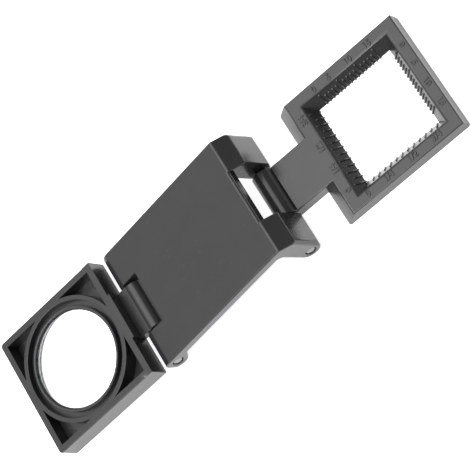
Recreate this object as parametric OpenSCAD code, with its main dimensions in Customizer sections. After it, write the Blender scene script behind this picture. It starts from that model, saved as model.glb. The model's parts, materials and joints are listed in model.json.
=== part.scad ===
// Folding pocket magnifier of the linen tester kind, moulded in black plastic.
// A lens holder, an arm and a graduated base frame are joined by two parallel hinges.
// It is modelled as it lies opened out: the base flat, the lens holder's free end on the table.
// X runs from the lens holder to the base frame, Y along the hinge pins, Z is up.

/* [Measuring window] */
// Side of the square window at its lower edge
window = 20; // [16:0.5:24]
// Width of each sloping window edge, seen from above
bevel_run = 2.15; // [1.6:0.05:2.6]
// Upright lip at the foot of the slope
bevel_lip = 0.3; // [0.2:0.05:0.6]
// Width of one graduation rib at its root
rib_w = 0.5; // [0.3:0.05:0.6]
// How far a rib stands past the window's edge
rib_tooth = 0.25; // [0.1:0.05:0.4]
// Run of a short rib up the slope, seen from above
rib_short = 0.9; // [0.5:0.05:1.1]
// Run of a long rib up the slope, seen from above
rib_long = 1.45; // [1.2:0.05:1.6]
// Clear length left at each end of a millimetre scale
mm_margin = 2; // [1.5:0.1:2.4]
// Clear length left at each end of an inch scale
inch_margin = 0.45; // [0.4:0.05:0.7]

/* [Base frame] */
// Thickness of the frame and its neck
base_t = 3.1; // [2.8:0.05:3.6]
// Flat top beside the window, on the frame's hinge side
end_rim = 2.85; // [2:0.05:4]
// Flat top beside the window, at the frame's free end
free_rim = 2.65; // [2:0.05:4]
// Distance from the base hinge to the frame's top edge
neck_reach = 12.35; // [11.6:0.05:16]
// Width of the neck and its knuckle
neck_w = 11.8; // [9:0.1:12]
// Run of the slope on the frame's hinge side
ledge_run = 3; // [2.6:0.05:3.5]
// How much wider the frame is at its foot, on each side
frame_draft = 0.12; // [0.05:0.01:0.25]
// How much further the free end reaches at its foot
end_draft = 0.32; // [0.05:0.01:0.4]
// Corner radius of the frame, seen from above
frame_corner = 0.6; // [0.3:0.1:2]
// Radius of the base knuckle
knuckle_r = 2.6; // [2.1:0.05:2.6]
// Height of the base hinge above the frame's foot
base_pin_h = 2.68; // [2.6:0.02:2.76]

/* [Arm] */
// Width of the arm, which the lens holder and the base frame share
arm_w = 29.6; // [27:0.1:32]
// Distance between the two hinges, measured along the plate
pin_span = 37.35; // [37.2:0.05:42]
// Depth of the arm's rims below its top face
arm_t = 2.45; // [2.1:0.05:2.5]
// Thickness of the plate between the rims
web_t = 1.7; // [1.3:0.05:1.9]
// Width of the rims on the underside
arm_rim = 1.5; // [1:0.1:2.5]
// Depth of the lens hinge below the top face
lens_pin_drop = 2.62; // [2.6:0.02:2.8]
// Depth of the base hinge below the top face
base_pin_drop = 10.62; // [10.56:0.02:11.4]
// Radius of the lugs' round foot about the base hinge
lug_r = 2.4; // [2.2:0.05:2.65]
// Distance from the base hinge to the lugs' front edge
lug_reach = 2.75; // [2.7:0.05:3]
// Height of the slanted corner at the base end
lug_chamfer = 2.76; // [2:0.02:3.4]
// Fillet between the lugs and the plate's underside
lug_fillet = 1.3; // [0.6:0.1:1.4]
// Reach of the lens lugs' slanted foot along the plate
gusset_reach = 3.5; // [3.3:0.05:3.55]
// Offset of the lens end's round from the hinge, toward the lens holder
end_offset = 0.2; // [0.05:0.05:0.3]
// Depth of the lens end's notch, measured from the hinge
notch_reach = 3.6; // [3.2:0.05:4]
// Corner radius of the arm at the lens end, seen from above
arm_corner = 0.9; // [0.5:0.1:2.5]
// Corner radius of the lugs at the base end, seen from above
lug_corner = 1; // [0.5:0.1:2]
// Chamfer on the plate's top edge at the slot for the neck
slot_edge = 0.35; // [0.2:0.05:0.6]

/* [Lens holder] */
// Length of the lens holder, without its hinge tongue
holder_l = 29.6; // [29.2:0.1:29.8]
// Thickness of the lens holder
holder_t = 5.1; // [4.9:0.05:5.2]
// Thickness of the floor of the corner pockets
holder_floor = 1.4; // [1:0.1:2]
// Thickness of the outer walls
holder_rim = 1.5; // [1.1:0.1:1.8]
// Inner radius of the round wall about the lens
ring_wall_r = 12.8; // [12.3:0.05:12.9]
// Thickness of the round wall
ring_wall_t = 1.07; // [0.9:0.01:1.3]
// Height of the groove's floor inside the round wall
groove_floor = 3.5; // [3.4:0.05:3.6]
// Corner radius of the lens holder at its free end, seen from above
holder_corner = 0.9; // [0.4:0.1:2]
// Corner radius of the lens holder at the hinge, seen from above
hinge_corner = 0.3; // [0.2:0.1:1.5]
// How much further the end wall at the hinge reaches at its foot
holder_draft = 0.2; // [0.05:0.05:0.25]
// Distance from the holder's end wall to the lens hinge
hinge_reach = 4; // [3.95:0.05:4.6]
// Width of the hinge tongue and its knuckle
tongue_w = 11.5; // [9:0.1:12]
// Thickness of the tongue
tongue_t = 2.1; // [1.8:0.05:2.2]
// Thickness of the pad on the end wall, over the tongue
pad_t = 0.53; // [0.3:0.01:0.8]
// Radius of the lens knuckle
tongue_knuckle_r = 2.3; // [2.1:0.05:2.5]
// Height of the lens hinge above the table when the tool lies open
lens_pin_h = 2.9; // [2.75:0.05:4]

/* [Lens] */
// Radius of the lens
lens_r = 11.35; // [11.1:0.05:11.4]
// Radius of curvature of both lens faces
lens_curve = 45; // [42:1:80]
// Thickness of the lens at its rim
lens_edge = 1.5; // [1.3:0.05:1.7]
// Height of the lens seat above the holder's back
seat_h = 1.6; // [1.55:0.01:1.7]
// Radius of the bore that holds the lens and its ring
cell_r = 11.5; // [11.45:0.05:11.6]
// Radius of the opening in the holder's back
eye_r = 11; // [10.7:0.05:11.05]
// Radius of the retaining ring's opening
clear_r = 10.62; // [10.2:0.02:10.8]
// Bevel round the opening, on the holder's back
eye_bevel = 0.6; // [0.2:0.05:0.8]
// Height of the retaining ring's top above the holder's back
ring_top = 4.78; // [4.4:0.02:4.85]
// Chamfer on the retaining ring's inner edge
ring_chamfer = 0.42; // [0.2:0.02:0.5]

/* [Hinge pins and fits] */
// Diameter of both hinge pins
pin_d = 2.4; // [1.8:0.1:2.6]
// How far a pin's ends lie inside the arm's sides
pin_recess = 0.1; // [0.1:0.05:1]
// Radial clearance of a pin in the arm's lugs
pin_fit = 0.02; // [0.01:0.01:0.05]
// Radial clearance of a pin in a knuckle
knuckle_fit = 0.06; // [0.03:0.01:0.1]
// Gap on each side of the tongue in the arm's notch
side_gap = 0.45; // [0.2:0.05:0.8]
// Gap on each side of the neck in the arm's slot
slot_gap = 0.7; // [0.4:0.05:1.2]
// Gap between the upright arm and the neck that stops it
stop_gap = 0.03; // [0.02:0.01:0.1]
// Clearance between the retaining ring and its bore
ring_fit = 0.02; // [0.01:0.01:0.03]

/* [Hidden] */
$fn = 96;
eps = 0.01;
far = 100;
plastic = [0.13, 0.13, 0.14];
pin_black = [0.2, 0.2, 0.21];
glass = [0.82, 0.9, 0.93];

frame_w = arm_w;
holder_w = arm_w;
window_x = neck_reach + end_rim + bevel_run + window / 2;
free_top = window / 2 + bevel_run + free_rim;
hinge_top = window / 2 + bevel_run + end_rim;
bevel_slope = (base_t - bevel_lip) / bevel_run;
inch_step = 25.4 / 16;
inch_divisions = floor((window - 2 * inch_margin) / inch_step);
mm_divisions = 5 * floor((window - 2 * mm_margin) / 5);
knuckle_foot_run = 1.5;

plate_end = pin_span - (base_t - base_pin_h) - stop_gap;
lug_front = pin_span + lug_reach;
lug_back = pin_span - lug_r;
slot_w = neck_w + 2 * slot_gap;
notch_w = tongue_w + 2 * side_gap;
pin_l = arm_w - 2 * pin_recess;

lens_pin_r = lens_pin_drop;
hinge_drop = base_pin_drop - lens_pin_drop;
hinge_to_hinge = norm([pin_span, hinge_drop]);
arm_tilt = atan2(hinge_drop, pin_span) + asin((base_pin_h - lens_pin_h) / hinge_to_hinge);
holder_reach = holder_l + hinge_reach;
holder_tilt = asin(lens_pin_h / holder_reach);
lens_pin_x = -(pin_span * cos(arm_tilt) + hinge_drop * sin(arm_tilt));
free_end_x = lens_pin_x - holder_reach * cos(holder_tilt) - holder_t * sin(holder_tilt);
frame_end_x = window_x + free_top + end_draft;
base_pin_x = -(free_end_x + frame_end_x) / 2;

lens_sag = lens_curve - sqrt(pow(lens_curve, 2) - pow(lens_r, 2));
seat_slope = 0.3;

// Places a piece drawn about the base hinge, with the table at height 0
module in_base() translate([base_pin_x, 0, 0]) children();

// Places a piece drawn along the arm: lens hinge at 0, top face at height 0
module in_arm()
    translate([base_pin_x, 0, base_pin_h])
        rotate([0, -arm_tilt, 0])
            translate([-pin_span, 0, base_pin_drop])
                children();

// Places a piece drawn in the lens holder: lens hinge at 0, its back at height 0
module in_holder()
    translate([base_pin_x + lens_pin_x, 0, lens_pin_h])
        rotate([0, -holder_tilt, 0])
            children();

// Extrudes a side view, drawn in X and Z, across a width in Y
module across(width) rotate([90, 0, 0]) linear_extrude(width, center = true) children();

// Extrudes an end view, drawn in Y and Z, along X
module along(length) rotate([90, 0, 90]) linear_extrude(length, center = true) children();

// A cylinder lying along Y
module lying_cylinder(r, length) rotate([90, 0, 0]) cylinder(r = r, h = length, center = true);

// A rectangle from x0 to x1 with round corners, r0 at x0 and r1 at x1
module rounded_plan(x0, x1, width, r0, r1) {
    y0 = width / 2;
    for (side = [-1, 1]) {
        translate([x0 + r0, side * (y0 - r0)]) circle(r0);
        translate([x1 - r1, side * (y0 - r1)]) circle(r1);
    }
    translate([x0, -(y0 - r0)]) square([r0, width - 2 * r0]);
    translate([x0 + r0, -y0]) square([x1 - x0 - r0 - r1, width]);
    translate([x1 - r1, -(y0 - r1)]) square([r1, width - 2 * r1]);
}

// One graduation rib: a sharp ridge that climbs the window's slope and ends past the lower edge
module rib(run) {
    top_z = bevel_lip + run * bevel_slope;
    slope_angle = atan(bevel_slope);
    crest = rib_tooth * sin(slope_angle);
    root = 0.3;
    intersection() {
        across(rib_w)
            polygon([[-rib_tooth, 0], [-rib_tooth, top_z], [run + root, top_z], [root, 0]]);
        translate([0, 0, bevel_lip])
            rotate([0, 90 - slope_angle, 0])
                linear_extrude(2 * base_t, center = true)
                    polygon([[-crest, 0], [0, rib_w / 2], [base_t, rib_w / 2],
                             [base_t, -rib_w / 2], [0, -rib_w / 2]]);
    }
}

// A scale centred on one window edge, with a long rib at every long_every-th step
module scale_ribs(angle, step, divisions, long_every)
    rotate([0, 0, angle])
        for (i = [0 : divisions])
            translate([window / 2, (i - divisions / 2) * step, 0])
                rib(i % long_every == 0 ? rib_long : rib_short);

// The outer block of the frame: ledge toward the hinge, slight draft all round
module frame_block() {
    hinge_foot = -hinge_top - ledge_run;
    free_foot = free_top + end_draft;
    intersection() {
        across(2 * frame_w)
            polygon([[hinge_foot, 0], [free_foot, 0], [free_top, base_t], [-hinge_top, base_t]]);
        along(far)
            polygon([[-frame_w / 2 - frame_draft, 0], [frame_w / 2 + frame_draft, 0],
                     [frame_w / 2, base_t], [-frame_w / 2, base_t]]);
        linear_extrude(base_t)
            rounded_plan(hinge_foot, free_foot, frame_w + 2 * frame_draft, frame_corner, frame_corner);
    }
}

// The window: four slopes that meet the square opening at the lip
module window_cut() {
    half = window / 2;
    over = (base_t + eps - bevel_lip) / bevel_slope;
    section = [[-half, -eps], [half, -eps], [half, bevel_lip],
               [half + over, base_t + eps], [-half - over, base_t + eps], [-half, bevel_lip]];
    intersection() {
        across(far) polygon(section);
        along(far) polygon(section);
    }
}

// The neck and its knuckle, drawn about the base hinge
module neck() {
    across(neck_w)
        polygon([[0, base_pin_h - knuckle_r], [knuckle_foot_run, 0],
                 [neck_reach + end_rim / 2, 0], [neck_reach + end_rim / 2, base_t], [0, base_t]]);
    translate([0, 0, base_pin_h]) lying_cylinder(knuckle_r, neck_w);
}

module base_frame() color(plastic) in_base() difference() {
    union() {
        translate([window_x, 0, 0]) {
            difference() {
                frame_block();
                window_cut();
            }
            scale_ribs(0, 1, mm_divisions, 5);
            scale_ribs(90, 1, mm_divisions, 5);
            scale_ribs(180, inch_step, inch_divisions, 2);
            scale_ribs(270, inch_step, inch_divisions, 2);
        }
        neck();
    }
    translate([0, 0, base_pin_h]) lying_cylinder(pin_d / 2 + knuckle_fit, neck_w + 1);
}

// The lens end: a full round near the hinge, with a slanted foot under the plate
module lens_end() {
    centre = [-end_offset, -lens_pin_drop];
    foot = [gusset_reach, -arm_t];
    to_foot = foot - centre;
    tangent = atan2(to_foot[1], to_foot[0]) - acos(lens_pin_r / norm(to_foot));
    translate([centre[0], 0, centre[1]]) lying_cylinder(lens_pin_r, arm_w);
    across(arm_w)
        polygon([centre, centre + lens_pin_r * [cos(tangent), sin(tangent)], foot,
                 [gusset_reach, -arm_t / 2], [centre[0], -arm_t / 2]]);
}

// The base end: slanted corner, tall lug with a round foot, and the fillet behind it
module base_end() {
    fillet_at = [lug_back - lug_fillet, -arm_t - lug_fillet];
    centre = [pin_span, -base_pin_drop];
    tangent = acos(lug_r / lug_reach);
    translate([pin_span, 0, -base_pin_drop]) lying_cylinder(lug_r, arm_w);
    across(arm_w)
        polygon([[lug_back, -arm_t / 2], [lug_back, 0], [plate_end, 0], [lug_front, -lug_chamfer],
                 [lug_front, -base_pin_drop], centre + lug_r * [cos(tangent), -sin(tangent)],
                 centre, [lug_back, -base_pin_drop]]);
    difference() {
        across(arm_w)
            polygon([[fillet_at[0], -arm_t / 2], [lug_back + eps, -arm_t / 2],
                     [lug_back + eps, fillet_at[1]], fillet_at]);
        translate([fillet_at[0], 0, fillet_at[1]]) lying_cylinder(lug_fillet, arm_w + 1);
    }
}

// The plate between the two ends
module plate()
    across(arm_w) translate([-end_offset, -arm_t]) square([lug_back + end_offset + eps, arm_t]);

// Shallow recess between the rims, and the open slot between the base lugs
module arm_hollows() {
    recess_from = notch_reach + arm_rim;
    recess_to = lug_back - lug_fillet - arm_rim / 2;
    recess_w = arm_w - 2 * arm_rim;
    translate([recess_from, -recess_w / 2, -arm_t - eps])
        cube([recess_to - recess_from, recess_w, arm_t - web_t + eps]);
    translate([recess_to - eps, -slot_w / 2, -far])
        cube([far, slot_w, far - arm_t]);
    translate([plate_end, -slot_w / 2, -far])
        cube([far, slot_w, 2 * far]);
    across(slot_w)
        polygon([[plate_end - slot_edge - eps, eps], [plate_end + eps, eps],
                 [plate_end + eps, -slot_edge - eps]]);
    translate([notch_reach - far, -notch_w / 2, -far])
        cube([far, notch_w, 2 * far]);
}

module arm() color(plastic) in_arm() difference() {
    intersection() {
        union() {
            lens_end();
            plate();
            base_end();
        }
        translate([0, 0, -far])
            linear_extrude(2 * far)
                rounded_plan(-lens_pin_r - end_offset, lug_front, arm_w, arm_corner, lug_corner);
    }
    arm_hollows();
    translate([0, 0, -lens_pin_drop]) lying_cylinder(pin_d / 2 + pin_fit, arm_w + 1);
    translate([pin_span, 0, -base_pin_drop]) lying_cylinder(pin_d / 2 + pin_fit, arm_w + 1);
}

// The outer block of the holder, with a slight draft on its end wall
module holder_block()
    intersection() {
        across(far)
            polygon([[-far, 0], [holder_draft - hinge_reach, 0], [-hinge_reach, holder_t],
                     [-far, holder_t]]);
        linear_extrude(holder_t)
            rounded_plan(-holder_reach, holder_draft - hinge_reach, holder_w,
                         holder_corner, hinge_corner);
    }

// The tongue, its knuckle and the pad where it leaves the end wall
module holder_hinge() {
    translate([-hinge_reach - eps, -tongue_w / 2, 0]) cube([hinge_reach + eps, tongue_w, tongue_t]);
    translate([-hinge_reach - eps, -tongue_w / 2, 0]) cube([pad_t + eps, tongue_w, holder_t]);
    lying_cylinder(tongue_knuckle_r, tongue_w);
}

// The open corners between the outer walls and the round wall
module corner_pockets() {
    inner_w = holder_w - 2 * holder_rim;
    inner_l = holder_l - 2 * holder_rim;
    difference() {
        translate([-inner_l / 2, -inner_w / 2, holder_floor]) cube([inner_l, inner_w, holder_t]);
        cylinder(r = ring_wall_r + ring_wall_t, h = holder_t);
    }
}

// The stepped bore: groove, cell, slanted seat and the eye opening
module lens_bore() {
    seat_drop = (cell_r - eye_r) * seat_slope;
    seat_rim = (cell_r - lens_r) * seat_slope;
    rotate_extrude()
        polygon([[0, -eps], [eye_r + eye_bevel + eps, -eps], [eye_r, eye_bevel],
                 [eye_r, seat_h + seat_rim - seat_drop], [cell_r, seat_h + seat_rim],
                 [cell_r, groove_floor], [ring_wall_r, groove_floor],
                 [ring_wall_r, holder_t + eps], [0, holder_t + eps]]);
}

module lens_holder() color(plastic) in_holder() difference() {
    union() {
        holder_block();
        holder_hinge();
    }
    translate([-hinge_reach - holder_l / 2, 0, 0]) {
        corner_pockets();
        lens_bore();
    }
    lying_cylinder(pin_d / 2 + knuckle_fit, tongue_w + 1);
}

// Places a round piece on the lens axis, at a height above the holder's back
module on_lens_axis(height)
    in_holder()
        translate([-hinge_reach - holder_l / 2, 0, height])
            children();

// A biconvex lens: two spherical faces and a ground rim
module lens() color(glass, 0.5) on_lens_axis(seat_h + lens_edge / 2) {
    centre_h = lens_curve - lens_sag - lens_edge / 2;
    half_t = lens_sag + lens_edge / 2;
    rotate_extrude()
        intersection() {
            translate([0, centre_h]) circle(lens_curve, $fn = 1440);
            translate([0, -centre_h]) circle(lens_curve, $fn = 1440);
            translate([0, -half_t]) square([lens_r, 2 * half_t]);
        }
}

// A plain ring pressed into the cell over the lens
module lens_retaining_ring() color(plastic) on_lens_axis(0) {
    outer_r = cell_r - ring_fit;
    on_lens = seat_h + lens_edge + ring_fit;
    rotate_extrude()
        polygon([[outer_r, on_lens], [outer_r, ring_top], [clear_r + ring_chamfer, ring_top],
                 [clear_r, ring_top - ring_chamfer], [clear_r, on_lens + (outer_r - clear_r) * seat_slope]]);
}

// A plain pin along Y
module hinge_pin() lying_cylinder(pin_d / 2, pin_l);

module base_hinge_pin() color(pin_black) in_arm()
    translate([pin_span, 0, -base_pin_drop]) hinge_pin();

module lens_hinge_pin() color(pin_black) in_arm()
    translate([0, 0, -lens_pin_drop]) hinge_pin();

base_frame();
arm();
lens_holder();
lens();
lens_retaining_ring();
base_hinge_pin();
lens_hinge_pin();
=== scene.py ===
import json
from math import pi, radians

import bmesh
import bpy
from mathutils import Matrix, Quaternion, Vector


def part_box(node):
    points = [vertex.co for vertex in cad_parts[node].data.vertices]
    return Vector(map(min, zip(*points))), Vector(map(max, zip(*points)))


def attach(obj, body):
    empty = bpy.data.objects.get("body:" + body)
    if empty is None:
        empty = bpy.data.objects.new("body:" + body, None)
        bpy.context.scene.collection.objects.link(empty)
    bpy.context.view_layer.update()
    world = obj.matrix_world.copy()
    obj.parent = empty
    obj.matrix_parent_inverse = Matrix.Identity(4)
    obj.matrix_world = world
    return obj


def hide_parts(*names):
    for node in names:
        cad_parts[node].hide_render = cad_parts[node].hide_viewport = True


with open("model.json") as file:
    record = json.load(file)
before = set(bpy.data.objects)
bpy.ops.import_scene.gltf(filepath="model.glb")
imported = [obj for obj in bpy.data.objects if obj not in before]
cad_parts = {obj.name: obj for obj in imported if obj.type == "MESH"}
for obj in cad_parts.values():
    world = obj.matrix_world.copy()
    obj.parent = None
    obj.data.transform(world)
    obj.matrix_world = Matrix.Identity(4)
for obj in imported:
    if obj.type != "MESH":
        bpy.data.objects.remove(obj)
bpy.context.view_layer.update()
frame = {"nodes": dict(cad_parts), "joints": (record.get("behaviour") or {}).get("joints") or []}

MM = 0.001

# Camera: it looks down from the front right, turned on its side, with a long lens.
camera_place = Vector((163.2, -212.4, 445.4)) * MM
camera_aim = Vector((1.48, 0.67, 0.0)) * MM
camera_roll = radians(-73.43)
camera_lens = 187.1
camera = bpy.data.objects.new("camera", bpy.data.cameras.new("camera"))
camera.data.sensor_width = 36
camera.data.lens = camera_lens
camera.location = camera_place
camera.rotation_mode = "QUATERNION"
camera.rotation_quaternion = (
    (camera_aim - camera_place).to_track_quat("-Z", "Y") @ Quaternion((0, 0, 1), camera_roll))
bpy.context.scene.collection.objects.link(camera)
bpy.context.scene.camera = camera

# Base frame: the flat square foot with the measuring window and the neck of the lower hinge.
# It is one injection moulding in black polystyrene, satin from the mould, its outer edges
# rounded a little by the cutter and then by the pocket.
plastic_colour = (0.024, 0.024, 0.025, 1)
cloud_lightness = 1.12
rubbed_colour = (0.045, 0.045, 0.046, 1)
plastic_ior = 1.59


class Nodes:
    """Short ways to add shader nodes to one material."""

    def __init__(self, tree):
        self.tree = tree
        self.place = self.add("TexCoord").outputs["Object"]

    def add(self, kind, **settings):
        node = self.tree.nodes.new("ShaderNode" + kind)
        for key, value in settings.items():
            setattr(node, key, value)
        return node

    def link(self, source, target):
        self.tree.links.new(source, target)

    def noise(self, size_mm, detail=2, distortion=0.0, place=None):
        texture = self.add("TexNoise")
        texture.inputs["Scale"].default_value = 1 / (size_mm * MM)
        texture.inputs["Detail"].default_value = detail
        texture.inputs["Distortion"].default_value = distortion
        self.link(place or self.place, texture.inputs["Vector"])
        return texture.outputs["Fac"]

    def stretched(self, turn, length):
        mapping = self.add("Mapping")
        mapping.inputs["Rotation"].default_value = turn
        mapping.inputs["Scale"].default_value = (1 / length, 1, 1)
        self.link(self.place, mapping.inputs["Vector"])
        return mapping.outputs["Vector"]

    def spread(self, value, low, high, to_low, to_high):
        step = self.add("MapRange")
        limits = (("From Min", low), ("From Max", high), ("To Min", to_low), ("To Max", to_high))
        for name, number in limits:
            step.inputs[name].default_value = number
        self.link(value, step.inputs["Value"])
        return step.outputs["Result"]

    def math(self, operation, a, b):
        step = self.add("Math", operation=operation)
        for value, socket in ((a, step.inputs[0]), (b, step.inputs[1])):
            if isinstance(value, (int, float)):
                socket.default_value = value
            else:
                self.link(value, socket)
        return step.outputs["Value"]

    def mix(self, amount, a, b):
        blend = self.add("Mix", data_type="RGBA")
        self.link(amount, blend.inputs[0])
        for value, socket in ((a, blend.inputs[6]), (b, blend.inputs[7])):
            if isinstance(value, tuple):
                socket.default_value = value
            else:
                self.link(value, socket)
        return blend.outputs[2]

    def bump(self, height, distance_mm, below=None):
        bump = self.add("Bump")
        bump.inputs["Distance"].default_value = distance_mm * MM
        self.link(height, bump.inputs["Height"])
        if below:
            self.link(below, bump.inputs["Normal"])
        return bump.outputs["Normal"]


def new_material(name):
    """A material, its shader and its node helper."""
    material = bpy.data.materials.new(name)
    material.use_nodes = True
    return material, material.node_tree.nodes["Principled BSDF"], Nodes(material.node_tree)


def moulded_plastic(name, roughness):
    """Black moulded plastic: a little cloudy, finely grained, with hair scratches and rubbed edges."""
    material, shader, n = new_material(name)
    shader.inputs["IOR"].default_value = plastic_ior
    edge = n.add("Attribute", attribute_name="rubbed").outputs["Fac"]
    patchy = n.spread(n.noise(3.0, 4), 0.35, 0.7, 0.1, 1.0)
    rubbed = n.math("MULTIPLY", edge, patchy)
    lighter = tuple(c * cloud_lightness for c in plastic_colour[:3]) + (1,)
    cloudy = n.mix(n.spread(n.noise(9.0, 3, 0.6), 0.3, 0.7, 0.0, 1.0), plastic_colour, lighter)
    hair = n.math(
        "MAXIMUM",
        n.spread(n.noise(0.16, 1, 0.2, n.stretched((0, 0, 0.6), 40)), 0.74, 0.8, 0.0, 1.0),
        n.spread(n.noise(0.13, 1, 0.2, n.stretched((0.3, 0, 2.2), 60)), 0.76, 0.82, 0.0, 1.0))
    hair = n.math("MULTIPLY", hair, n.spread(n.noise(6.0), 0.45, 0.62, 0.0, 0.6))
    worn = n.math("MAXIMUM", rubbed, hair)
    n.link(n.mix(worn, cloudy, rubbed_colour), shader.inputs["Base Color"])
    satin = n.spread(n.noise(2.2, 5, 0.3), 0.3, 0.7, roughness - 0.02, roughness + 0.03)
    n.link(n.math("ADD", satin, n.math("MULTIPLY", hair, 0.12)), shader.inputs["Roughness"])
    fine = n.bump(n.noise(0.18, 3), 0.0018)
    n.link(n.bump(n.noise(6.0, 1), 0.006, fine), shader.inputs["Normal"])
    return material


def from_solid(node, cuts=()):
    """A welded copy of a CAD solid with its flat faces joined, but not across the given planes."""
    shape = bmesh.new()
    shape.from_mesh(frame["nodes"][node].data)
    bmesh.ops.remove_doubles(shape, verts=shape.verts, dist=0.002 * MM)
    for point, normal in cuts:
        cut = bmesh.ops.bisect_plane(
            shape, geom=list(shape.verts) + list(shape.edges) + list(shape.faces),
            dist=0.001 * MM, plane_co=point, plane_no=normal)
        for part in cut["geom_cut"]:
            if isinstance(part, bmesh.types.BMEdge):
                part.seam = True
    bmesh.ops.dissolve_limit(
        shape, angle_limit=radians(0.5), verts=shape.verts, edges=shape.edges, delimit={"SEAM"})
    return shape


def round_edges(shape, radius, chosen=lambda edge: True, steepest=25):
    """Rounds the outer corners that chosen() picks, and marks them as rubbed."""
    rubbed = shape.verts.layers.float.get("rubbed") or shape.verts.layers.float.new("rubbed")
    edges = [e for e in shape.edges
             if e.is_manifold and e.is_convex and e.calc_face_angle() > radians(steepest) and chosen(e)]
    made = bmesh.ops.bevel(
        shape, geom=edges, offset=radius * MM, offset_type="OFFSET", segments=3,
        profile=0.5, affect="EDGES", material=-1, clamp_overlap=False)
    new_faces = set(made["faces"])
    for vert in made["verts"]:
        if all(face in new_faces for face in vert.link_faces):
            vert[rubbed] = 1.0


def piece(name, shape, body, material, slot, *nodes, crease=38):
    """Turns a finished shape into an object that rides on its body."""
    for face in shape.faces:
        face.smooth = True
    for edge in shape.edges:
        edge.smooth = not edge.is_manifold or edge.calc_face_angle() < radians(crease)
    mesh = bpy.data.meshes.new(name)
    shape.to_mesh(mesh)
    shape.free()
    if "custom_normal" in mesh.attributes:
        mesh.attributes.remove(mesh.attributes["custom_normal"])
    mesh.materials.clear()
    mesh.materials.append(material)
    made = bpy.data.objects.new(name, mesh)
    bpy.context.scene.collection.objects.link(made)
    even = made.modifiers.new("even_normals", "WEIGHTED_NORMAL")
    even.keep_sharp = True
    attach(made, body)
    if nodes:
        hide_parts(*nodes)
    return made


base_top = 3.1
knuckle_radius = 2.6
base_hinge = Vector(frame["joints"][0]["pos_m"]) / MM
neck_reach = 12.35
end_rim = 2.85
window = 20.0
slope_run = 2.15
window_x = base_hinge.x + neck_reach + end_rim + slope_run + window / 2
lip = 0.3
slope = (base_top - lip) / slope_run
close = 0.03
top_rounding = 0.28
window_rounding = 0.5
knuckle_rounding = 0.18


def at_window(vert):
    """True for a point at the window's upper rim."""
    return max(abs(vert.co.x / MM - window_x), abs(vert.co.y / MM)) < window / 2 + slope_run + 0.1


def on_top(edge):
    """True for edges of the frame's and the neck's top face."""
    return all(v.co.z / MM > base_top - close and not at_window(v) for v in edge.verts)


def on_window_rim(edge):
    """True for the upper rim of the window."""
    return all(v.co.z / MM > base_top - close and at_window(v) for v in edge.verts)


def on_knuckle_ends(edge):
    """True for the rims of the knuckle's two end faces."""
    from_pin = (Vector((v.co.x / MM - base_hinge.x, v.co.z / MM - base_hinge.z)) for v in edge.verts)
    return all(abs(way.length - knuckle_radius) < close for way in from_pin)


base_plastic = moulded_plastic("base_plastic", 0.22)
base_shape = from_solid("base_frame")
# The solid's broad ridges are laid flat on the slopes, where the slim ribs stand instead.
for vert in base_shape.verts:
    x = vert.co.x / MM - window_x
    y = vert.co.y / MM
    z = vert.co.z / MM
    reach = max(abs(x), abs(y))
    wall = window / 2 + max(0.0, z - lip) / slope
    if reach < wall - 0.003:
        if abs(x) > abs(y):
            vert.co.x = (window_x + wall * x / reach) * MM
        else:
            vert.co.y = wall * y / reach * MM
bmesh.ops.remove_doubles(base_shape, verts=base_shape.verts, dist=0.004 * MM)
bmesh.ops.dissolve_degenerate(base_shape, edges=base_shape.edges, dist=0.004 * MM)
bmesh.ops.dissolve_limit(
    base_shape, angle_limit=radians(1), verts=base_shape.verts, edges=base_shape.edges)
round_edges(base_shape, top_rounding, on_top)
round_edges(base_shape, window_rounding, on_window_rim)
round_edges(base_shape, knuckle_rounding, on_knuckle_ends)
piece("base_frame_moulding", base_shape, "base", base_plastic, "black_plastic", "base_frame")

# Scale ribs: the graduation ridges on the window's four slopes, moulded in one with the frame.
# Millimetres on the far and the free side, sixteenths of an inch on the other two.
rib_width = 0.26
rib_height = 0.3
tooth = 0.26
rib_foot = 0.04
short_rib = 1.2
long_rib = 1.72
inch = 25.4
scales = ((0, 1.0, 15, 5), (90, 1.0, 15, 5), (180, inch / 16, 12, 2), (270, inch / 16, 12, 2))
ribs_shape = bmesh.new()
for turn, step, divisions, long_every in scales:
    for i in range(divisions + 1):
        run = short_rib if i % long_every else long_rib
        top = lip + run * slope
        side = [(-tooth, rib_foot), (-tooth, lip + 0.1), (run - rib_height - 0.08, top - 0.08),
                (run - rib_height + 0.04, top), (run + 0.2, top), (0.3, rib_foot)]
        along = (i - divisions / 2) * step - rib_width / 2
        place = (Matrix.Translation(Vector((window_x, 0, 0)) * MM) @ Matrix.Rotation(radians(turn), 4, "Z")
                 @ Matrix.Translation(Vector((window / 2, along, 0)) * MM))
        corners = [ribs_shape.verts.new(place @ (Vector((r, 0, z)) * MM)) for r, z in side]
        flank = ribs_shape.faces.new(corners)
        pulled = bmesh.ops.extrude_face_region(ribs_shape, geom=[flank])
        across = (place.to_3x3() @ Vector((0, 1, 0))) * rib_width * MM
        far_corners = [part for part in pulled["geom"] if isinstance(part, bmesh.types.BMVert)]
        bmesh.ops.translate(ribs_shape, vec=across, verts=far_corners)
bmesh.ops.recalc_face_normals(ribs_shape, faces=ribs_shape.faces)
piece("scale_ribs", ribs_shape, "base", base_plastic, "black_plastic")

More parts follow.
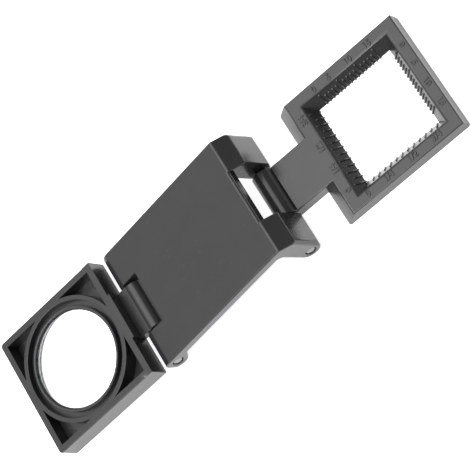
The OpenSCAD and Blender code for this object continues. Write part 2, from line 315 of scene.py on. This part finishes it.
# Scale numbers: plain raised figures moulded on the frame's top beside the four scales.
# Millimetres run along the far and the free side, parts of an inch along the other two.
figure_height = 1.5
figure_rise = 0.06
figure_softness = 0.03
figures = [
    ("0", 34.6, 13.1, 0), ("5", 38.7, 13.1, 0), ("10", 44.4, 13.1, 0), ("15", 49.7, 13.1, 0),
    ("0", 55.7, 7.6, -90), ("5", 55.7, 2.7, -90), ("10", 55.7, -2.7, -90), ("15", 55.7, -8.1, -90),
    ("0", 28.9, -9.8, 90), ("1/4", 28.9, -3.9, 90), ("1/2", 28.9, 1.9, 90), ("3/4", 28.9, 9.1, 90),
    ("0", 32.1, -13.2, 0), ("1/4", 38.0, -13.2, 0), ("1/2", 44.5, -13.2, 0), ("3/4", 50.9, -13.2, 0)]


def figure_mesh(text):
    """A raised figure with soft edges, drawn in the built-in font and centred."""
    curve = bpy.data.curves.new("figure", "FONT")
    curve.body = text
    curve.resolution_u = 3
    curve.extrude = figure_rise
    curve.bevel_depth = figure_softness
    curve.bevel_resolution = 1
    drawn = bpy.data.objects.new("figure", curve)
    bpy.context.scene.collection.objects.link(drawn)
    bpy.context.view_layer.update()
    solid = drawn.evaluated_get(bpy.context.evaluated_depsgraph_get())
    mesh = bpy.data.meshes.new_from_object(solid)
    bpy.data.objects.remove(drawn)
    bpy.data.curves.remove(curve)
    low = Vector(min(v.co[k] for v in mesh.vertices) for k in range(3))
    high = Vector(max(v.co[k] for v in mesh.vertices) for k in range(3))
    to_size = Matrix.Scale(figure_height * MM / (high.y - low.y), 4)
    mesh.transform(to_size @ Matrix.Translation(-(low + high) / 2))
    return mesh


numbers_shape = bmesh.new()
for text, x, y, turn in figures:
    mesh = figure_mesh(text)
    mesh.transform(
        Matrix.Translation(Vector((x, y, base_top)) * MM) @ Matrix.Rotation(radians(turn), 4, "Z"))
    numbers_shape.from_mesh(mesh)
    bpy.data.meshes.remove(mesh)
bmesh.ops.remove_doubles(numbers_shape, verts=numbers_shape.verts, dist=0.002 * MM)
piece("scale_numbers", numbers_shape, "base", base_plastic, "black_plastic")

# Arm: the plate between the two hinges, with lugs below it at the base end.
# One moulding of the same plastic, smooth on top and hollowed under its rims.
arm_plastic = moulded_plastic("arm_plastic", 0.24)
arm_rounding = 0.35
arm_shape = from_solid("arm")
round_edges(arm_shape, arm_rounding, steepest=32)
piece("arm_moulding", arm_shape, "arm", arm_plastic, "black_plastic", "arm")

# Lens holder: the square cell with open corners and the tongue of the upper hinge.
# Moulded like the arm, with a deep round wall that takes the lens.
lens_hinge = Vector(frame["joints"][1]["pos_m"])
arm_tilt = radians(180 + frame["joints"][0]["range_deg"][0])
holder_tilt = arm_tilt + radians(180 + frame["joints"][1]["range_deg"][0])
holder_frame = Matrix.Translation(lens_hinge) @ Matrix.Rotation(-holder_tilt, 4, "Y")
into_holder = holder_frame.inverted()
holder_thickness = 5.1
holder_half = 14.8
holder_middle = -18.8
wall_inside = 12.8
wall_outside = 13.87
side_draft = 0.45
hinge_side = -4.31
tongue_half = 5.75
tongue_reach = -3.3
pin_surround = 2.0
eye_inside = 11.0
eye_shown = 11.22
eye_edge = 11.7
eye_top = 1.55
rim_rounding = 0.18
wall_rounding = 0.14
tongue_rounding = 0.2


def in_holder(vert):
    """A point of the holder as it lies flat, in mm from its hinge."""
    return into_holder @ vert.co / MM


def on_outer_rim(edge):
    """True for the top edges round the outside of the holder, but not for those beside the hinge."""
    for vert in edge.verts:
        p = in_holder(vert)
        outwards = max(holder_middle - p.x, abs(p.y))
        if p.z <= holder_thickness - close or outwards <= holder_half - side_draft or p.x >= hinge_side:
            return False
    return True


def on_round_wall(edge):
    """True for the two top edges of the round wall."""
    for vert in edge.verts:
        p = in_holder(vert)
        from_axis = Vector((p.x - holder_middle, p.y)).length
        from_edge = min(abs(from_axis - wall_inside), abs(from_axis - wall_outside))
        if p.z < holder_thickness - close or from_edge > close:
            return False
    return True


def on_tongue_ends(edge):
    """True for the rims of the tongue's two round end faces."""
    for vert in edge.verts:
        p = in_holder(vert)
        from_pin = Vector((p.x, p.z)).length
        if abs(abs(p.y) - tongue_half) >= 0.02 or p.x <= tongue_reach or from_pin <= pin_surround:
            return False
    return True


holder_plastic = moulded_plastic("holder_plastic", 0.24)
lens_axis = holder_frame @ Vector((holder_middle * MM, 0, 0))
turned = holder_frame.to_3x3()
cut_ways = ((1, 0, 0), (0, 1, 0), (1, 0.85, 0), (1, -0.85, 0))
holder_shape = from_solid("lens_holder", [(lens_axis, turned @ Vector(way)) for way in cut_ways])
# The opening's back flares a little, so that the table shows right up to the ring.
for vert in holder_shape.verts:
    p = in_holder(vert)
    from_axis = Vector((p.x - holder_middle, p.y, 0))
    if from_axis.length < eye_edge and p.z < eye_top:
        wider = from_axis.length + (eye_shown - eye_inside) * (1.0 if p.z > 0.3 else 1.6)
        out = from_axis * (wider / from_axis.length)
        vert.co = holder_frame @ (Vector((holder_middle + out.x, out.y, p.z)) * MM)
round_edges(holder_shape, rim_rounding, on_outer_rim)
round_edges(holder_shape, wall_rounding, on_round_wall)
round_edges(holder_shape, tongue_rounding, on_tongue_ends)
piece("lens_holder_moulding", holder_shape, "holder", holder_plastic, "black_plastic", "lens_holder")

# Ejector marks: a low round pad in each pocket's floor, left by the pins that push the
# moulding out of its tool, and part of the same moulding.
floor_height = 1.4
mark_reach = 11.5
mark_foot_radius = 0.9
mark_top_radius = 0.82
mark_height = 0.3
mark_rim = 0.16
mark_slope = 0.06
mark_depth = 0.1
marks_shape = bmesh.new()
for x, y in ((1, 1), (1, -1), (-1, 1), (-1, -1)):
    mark = bmesh.ops.create_cone(
        marks_shape, cap_ends=True, segments=32,
        radius1=mark_foot_radius * MM, radius2=mark_top_radius * MM, depth=mark_height * MM)
    mark_faces = {face for vert in mark["verts"] for face in vert.link_faces}
    cap = max(mark_faces, key=lambda face: face.calc_center_median().z)
    bmesh.ops.inset_region(marks_shape, faces=[cap], thickness=mark_rim * MM, depth=0)
    sunk = bmesh.ops.inset_region(
        marks_shape, faces=[cap], thickness=mark_slope * MM, depth=-mark_depth * MM)
    dish = {vert for face in [cap] + sunk["faces"] for vert in face.verts} | set(mark["verts"])
    bmesh.ops.translate(
        marks_shape, vec=Vector((holder_middle + mark_reach * x, mark_reach * y, floor_height)) * MM,
        verts=[v for v in marks_shape.verts if v in dish or v.co.xy.length < 1.0 * MM])
marks_shape.transform(holder_frame)
piece("pocket_marks", marks_shape, "holder", holder_plastic, "black_plastic")

# Hinge pins: two plain steel pins, blackened, pressed through the arm's lugs.
# Their ends are domed a little and polished by handling; the dark ring left round each end's rim is painted
# shade for the shadow in the gap round the pin.
pin_steel, pin_shader, n = new_material("blackened_steel")
pin_shader.inputs["Metallic"].default_value = 1
polished = n.add("Attribute", attribute_name="polished").outputs["Fac"]
# Dark blackened steel covers the whole pin, and round the rim of each end it is also painted shade standing
# in for the shadow in the gap between pin and hole.
blackened_and_rim_shade = n.mix(
    n.spread(n.noise(0.25, 4), 0.35, 0.65, 0.0, 1.0), (0.02, 0.02, 0.021, 1), (0.07, 0.068, 0.066, 1))
bright = n.mix(
    n.spread(n.noise(0.12, 3), 0.3, 0.7, 0.0, 1.0), (0.16, 0.16, 0.162, 1), (0.26, 0.26, 0.262, 1))
n.link(n.mix(polished, blackened_and_rim_shade, bright), pin_shader.inputs["Base Color"])
n.link(n.spread(n.noise(0.2, 3), 0.3, 0.7, 0.28, 0.45), pin_shader.inputs["Roughness"])
n.link(n.bump(n.noise(0.08, 2, 0, n.stretched((0, 0, 0), 12)), 0.002), pin_shader.inputs["Normal"])
pin_radius = 1.2
pin_dome = 0.09
polished_part_inside_shaded_rim = 0.82


def spun(outline, axis, steps, closed=False):
    """A solid of revolution about an axis through the origin, from (radius, height) points in mm."""
    shape = bmesh.new()
    verts = [shape.verts.new((Vector((r, 0, 0)) + axis * h) * MM) for r, h in outline]
    for a, b in zip(verts, verts[1:] + (verts[:1] if closed else [])):
        shape.edges.new((a, b))
    bmesh.ops.spin(shape, geom=list(shape.verts) + list(shape.edges), cent=(0, 0, 0), axis=axis,
                   angle=2 * pi, steps=steps, use_merge=True)
    bmesh.ops.remove_doubles(shape, verts=shape.verts, dist=0.001 * MM)
    bmesh.ops.recalc_face_normals(shape, faces=shape.faces)
    return shape


for node in ("base_hinge_pin", "lens_hinge_pin"):
    low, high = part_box(node)
    middle = (low + high) / 2
    half = (high.y - low.y) / 2 / MM
    outline = [(0.0, half), (0.45 * pin_radius, half - 0.2 * pin_dome), (0.8 * pin_radius, half - pin_dome),
               (0.93 * pin_radius, half - 0.24), (pin_radius, half - 0.42), (pin_radius, 0.0)]
    outline += [(r, -h) for r, h in reversed(outline[:-1])]
    pin_shape = spun(outline, Vector((0, 1, 0)), 48)
    polished_centre_shaded_rim = pin_shape.verts.layers.float.new("polished")
    # Inside the polished part of the radius the end is bright steel; the rim outside it keeps the dark
    # steel as painted shade for the gap's shadow.
    for vert in pin_shape.verts:
        from_axis = Vector((vert.co.x, vert.co.z)).length
        vert[polished_centre_shaded_rim] = 1.0 if from_axis < polished_part_inside_shaded_rim * pin_radius * MM else 0.0
    pin_shape.transform(Matrix.Translation(middle))
    piece(node + "_steel", pin_shape, "arm", pin_steel, "pin_steel", node, crease=60)

# Retaining ring: a plain ring of the same black plastic, turned here from its profile.
# It is pressed into the cell over the lens and holds it on its seat.
ring_plastic = moulded_plastic("ring_plastic", 0.28)
ring_top = 4.78
ring_outside = 11.48
ring_inside = 10.62
ring_bottom = 3.16
round_steps = 160
outline = [(ring_outside, ring_bottom), (ring_outside, ring_top - 0.06), (ring_outside - 0.06, ring_top),
           (ring_inside + 0.44, ring_top), (ring_inside + 0.36, ring_top - 0.03),
           (ring_inside + 0.04, ring_top - 0.38), (ring_inside, ring_top - 0.46),
           (ring_inside, ring_top - 0.72), (ring_inside + 0.06, ring_top - 0.8),
           (ring_outside - 0.2, ring_bottom + 0.16), (ring_outside - 0.16, ring_bottom)]
ring_shape = spun(outline, Vector((0, 0, 1)), round_steps, closed=True)
ring_shape.transform(holder_frame @ Matrix.Translation(Vector((holder_middle, 0, 0)) * MM))
piece("lens_retaining_ring_moulding", ring_shape, "holder", ring_plastic, "black_plastic",
      "lens_retaining_ring")

# Lens: a biconvex disc of clear glass with polished faces and a ground rim.
# It lies on the holder's seat, under the ring.
lens_radius = 11.35
lens_curve = 45.0
lens_edge = 1.5
seat_height = 1.6
glass_ior = 1.52

lens_glass, glass, n = new_material("lens_glass")
glass.inputs["Base Color"].default_value = (0.97, 0.99, 0.985, 1)
glass.inputs["IOR"].default_value = glass_ior
glass.inputs["Transmission Weight"].default_value = 1.0
ground = n.add("Attribute", attribute_name="ground").outputs["Fac"]
smudge = n.spread(n.noise(5.0, 3, 1.0), 0.55, 0.75, 0.0, 0.02)
n.link(n.math("MAXIMUM", n.math("MULTIPLY", ground, 0.5), smudge), glass.inputs["Roughness"])

sag = lens_curve - (lens_curve ** 2 - lens_radius ** 2) ** 0.5
circles = 14
half_profile = []
for k in range(circles + 1):
    r = lens_radius * k / circles
    half_profile.append((r, lens_edge / 2 + sag - (lens_curve - (lens_curve ** 2 - r ** 2) ** 0.5)))
outline = half_profile + [(r, -h) for r, h in reversed(half_profile)]
lens_shape = spun(outline, Vector((0, 0, 1)), round_steps)
rim = lens_shape.verts.layers.float.new("ground")
for vert in lens_shape.verts:
    vert[rim] = 1.0 if Vector((vert.co.x, vert.co.y)).length > (lens_radius - 0.01) * MM else 0.0
lens_shape.transform(holder_frame @ Matrix.Translation(
    Vector((holder_middle, 0, seat_height + lens_edge / 2)) * MM))
rim_glass, rim_shader, n = new_material("ground_rim")
n.link(n.mix(n.spread(n.noise(0.3, 3), 0.3, 0.7, 0.0, 1.0), (0.62, 0.63, 0.63, 1), (0.8, 0.81, 0.81, 1)),
       rim_shader.inputs["Base Color"])
rim_shader.inputs["Roughness"].default_value = 0.8
n.link(n.bump(n.noise(0.15, 3), 0.01), rim_shader.inputs["Normal"])
lens = piece("lens_disc", lens_shape, "holder", lens_glass, "lens_glass", "lens")
lens.data.materials.append(rim_glass)
is_ground = lens.data.attributes["ground"].data
for face in lens.data.polygons:
    if all(is_ground[index].value > 0.5 for index in face.vertices):
        face.material_index = 1
lens.visible_shadow = False

# Table and light: a white table under one large softbox and a smaller lamp, in a dim room
# with a pale wall to the left. The camera sees the table and the room as white.
table_radius = 2.5
table_shape = bmesh.new()
bmesh.ops.create_circle(table_shape, cap_ends=True, segments=96, radius=table_radius)
table_mesh = bpy.data.meshes.new("table")
table_shape.to_mesh(table_mesh)
table_shape.free()
table = bpy.data.objects.new("table", table_mesh)
bpy.context.scene.collection.objects.link(table)
table_white = 0.88
table_paint, paint, n = new_material("table_paint")
n.link(n.mix(n.spread(n.noise(30.0, 4), 0.3, 0.7, 0.0, 1.0), (0.82, 0.82, 0.82, 1), (0.84, 0.84, 0.84, 1)),
       paint.inputs["Base Color"])
paint.inputs["Roughness"].default_value = 0.9
paint.inputs["Specular IOR Level"].default_value = 0.0
seen = n.add("LightPath").outputs
paint.inputs["Emission Color"].default_value = (1, 1, 1, 1)
looked_at = n.math("MAXIMUM", seen["Is Camera Ray"], seen["Is Transmission Ray"])
n.link(n.math("MAXIMUM", n.math("MULTIPLY", looked_at, table_white), seen["Is Glossy Ray"]),
       paint.inputs["Emission Strength"])
table_mesh.materials.append(table_paint)

world = bpy.data.worlds.new("room")
bpy.context.scene.world = world
world.use_nodes = True
n = Nodes(world.node_tree)
direction = n.add("TexCoord").outputs["Generated"]
toward_wall = n.add("VectorMath", operation="DOT_PRODUCT")
toward_wall.inputs[1].default_value = Vector((-0.73, 0.34, 0.59)).normalized()
n.link(direction, toward_wall.inputs[0])
height = n.add("SeparateXYZ")
n.link(direction, height.inputs["Vector"])
wall_strength = 0.75
horizon_strength = 0.55
room_strength = 0.15
wall_glow = n.spread(toward_wall.outputs["Value"], 0.6, 0.97, 0.0, wall_strength)
low_band = n.spread(height.outputs["Z"], 0.0, 0.4, horizon_strength, 0.0)
room_light = n.math("ADD", n.math("ADD", wall_glow, low_band), room_strength)
seen = n.add("LightPath").outputs
white_behind = n.math("MAXIMUM", seen["Is Camera Ray"], seen["Is Transmission Ray"])
shown = n.add("Mix", data_type="FLOAT")
n.link(white_behind, shown.inputs[0])
n.link(room_light, shown.inputs[2])
shown.inputs[3].default_value = 1.0
background = world.node_tree.nodes["Background"]
background.inputs["Color"].default_value = (1, 1, 1, 1)
n.link(shown.outputs[0], background.inputs["Strength"])


lamp_height = 0.8


def lamp(name, x, y, width, depth, radiance):
    """A rectangular lamp above the table that faces straight down."""
    data = bpy.data.lights.new(name, "AREA")
    data.shape = "RECTANGLE"
    data.size = width
    data.size_y = depth
    data.energy = radiance * pi * width * depth
    made = bpy.data.objects.new(name, data)
    made.location = (x, y, lamp_height)
    bpy.context.scene.collection.objects.link(made)


lamp("softbox", x=-0.12, y=0.15, width=0.72, depth=0.9, radiance=1.75)
lamp("small_lamp", x=-0.36, y=-0.23, width=0.5, depth=0.4, radiance=10.0)

bpy.context.scene.view_settings.view_transform = "Standard"
